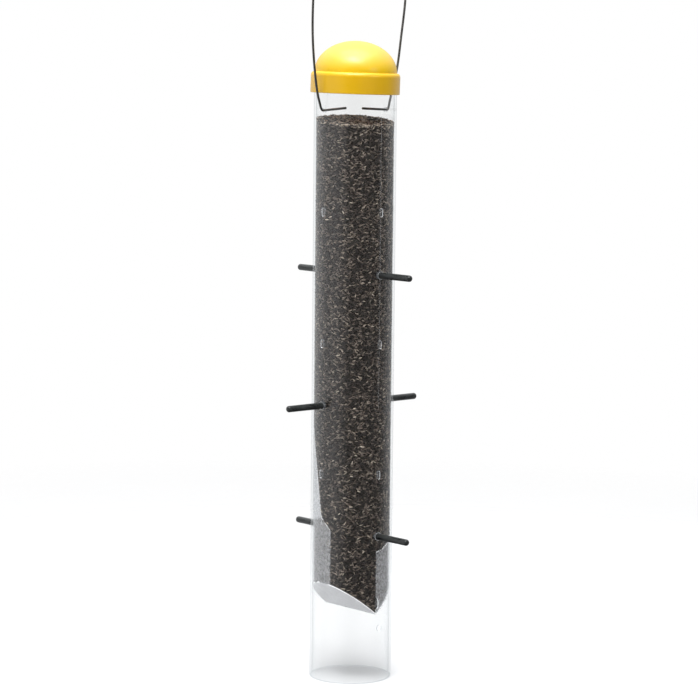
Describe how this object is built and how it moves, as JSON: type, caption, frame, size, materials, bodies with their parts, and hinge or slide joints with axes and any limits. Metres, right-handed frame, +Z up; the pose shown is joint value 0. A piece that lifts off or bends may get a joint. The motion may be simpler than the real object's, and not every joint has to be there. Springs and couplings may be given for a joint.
{
  "type": "hanging bird feeder",
  "caption": "Clear tube seed feeder with slotted walls, through perches, a folded seed baffle, a domed lid and a swinging wire bail to hang it by.",
  "frame": {"origin": "the hanging point: the inside of the bail's crown, where a hook bears on it, on the tube's axis", "axes": "+Z up along the tube, +X along the bail's hinge line and the middle perch, +Y along the upper and lower perches, away from the side with the drain hole"},
  "size_m": [0.1316, 0.1316, 0.6525],
  "materials": {
    "clear_tube": "clear extruded tube, glossy, saw-cut ends",
    "milky_sheet": "thin milky translucent sheet, satin",
    "nyjer_seed": "small dark slender seeds, dull with pale flecks",
    "dark_wire": "dark coated steel wire, satin",
    "black_rod": "charcoal rod with rounded ends, satin",
    "yellow_cap": "moulded bright yellow plastic, soft gloss"
  },
  "bodies": {
    "hanger": {"bail": "dark_wire"},
    "feeder": {"tube": "clear_tube", "seed_baffle": "milky_sheet", "seed_fill": "nyjer_seed", "perch_lower": "black_rod", "perch_middle": "black_rod", "perch_upper": "black_rod"},
    "lid": {"cap": "yellow_cap"}
  },
  "joints": [
    {"name": "bail_swing", "type": "hinge", "parent": "hanger", "child": "feeder", "pos_m": [0, 0, -0.21], "axis": [1, 0, 0], "range_deg": [-165, 165]},
    {"name": "lid_lift", "type": "slide", "parent": "feeder", "child": "lid", "axis": [0, 0, 1], "range_m": [0, 0.09]}
  ]
}
